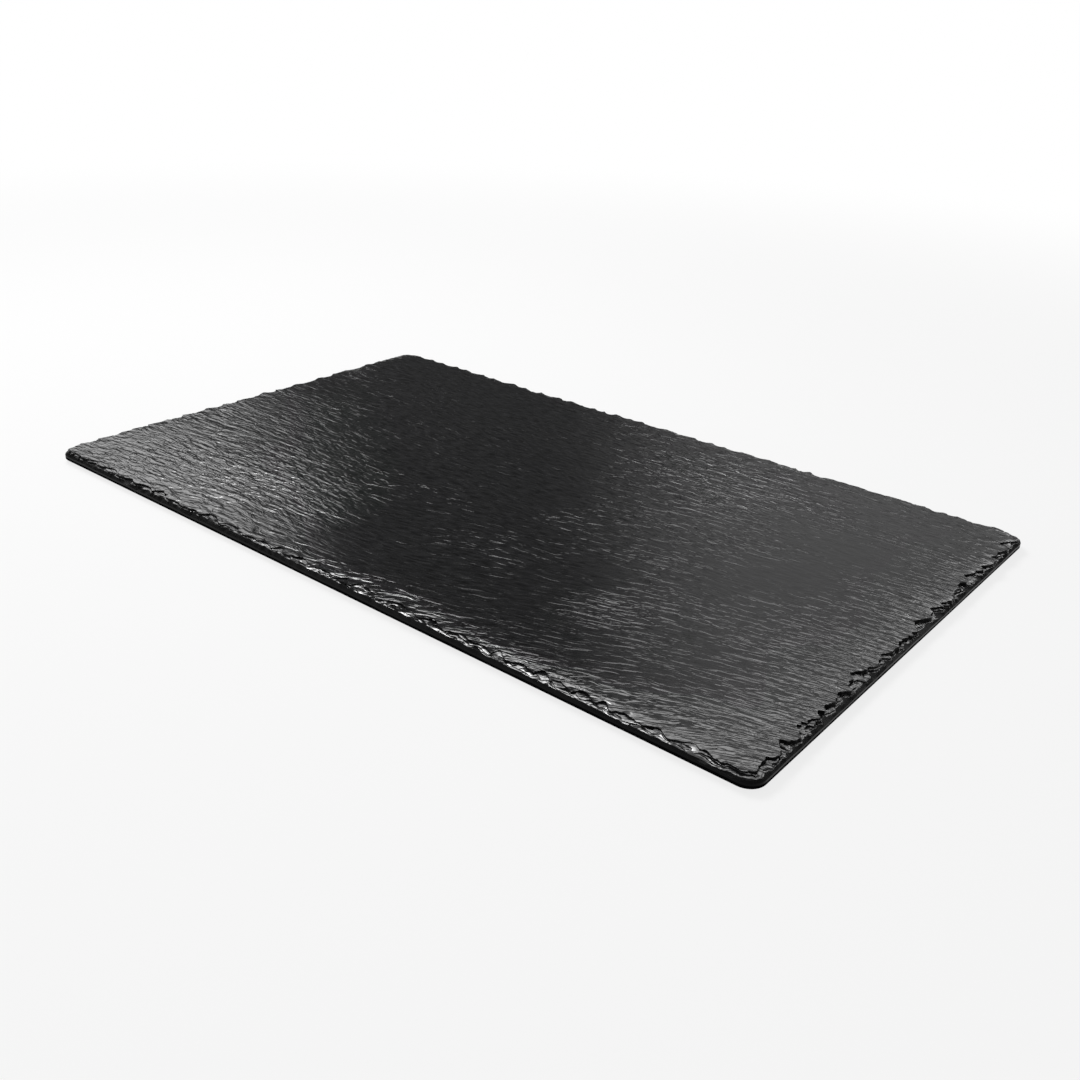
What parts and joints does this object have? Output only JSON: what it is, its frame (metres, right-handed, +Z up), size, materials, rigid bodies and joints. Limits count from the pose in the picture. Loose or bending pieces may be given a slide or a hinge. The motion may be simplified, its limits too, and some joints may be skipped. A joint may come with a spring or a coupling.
{
  "type": "serving board",
  "caption": "Flat rectangular moulded melamine serving board with a riven slate face, a chipped slate edge and low anti-slip feet, for buffet and table service.",
  "frame": {"origin": "on the table plane, under the centre of the board", "axes": "+X along the board's length, +Y along its width from the front to the rear, +Z up out of the serving face"},
  "size_m": [0.53, 0.325, 0.009],
  "materials": {
    "slate_melamine": "black compression-moulded melamine, satin, with a riven slate texture",
    "silicone": "black moulded silicone, matt",
    "adhesive": "pale double-sided adhesive film"
  },
  "bodies": {
    "root": {"board": "slate_melamine", "foot_front_left": "silicone", "foot_front_right": "silicone", "foot_rear_left": "silicone", "foot_rear_right": "silicone", "adhesive_front_left": "adhesive", "adhesive_front_right": "adhesive", "adhesive_rear_left": "adhesive", "adhesive_rear_right": "adhesive"}
  },
  "joints": []
}
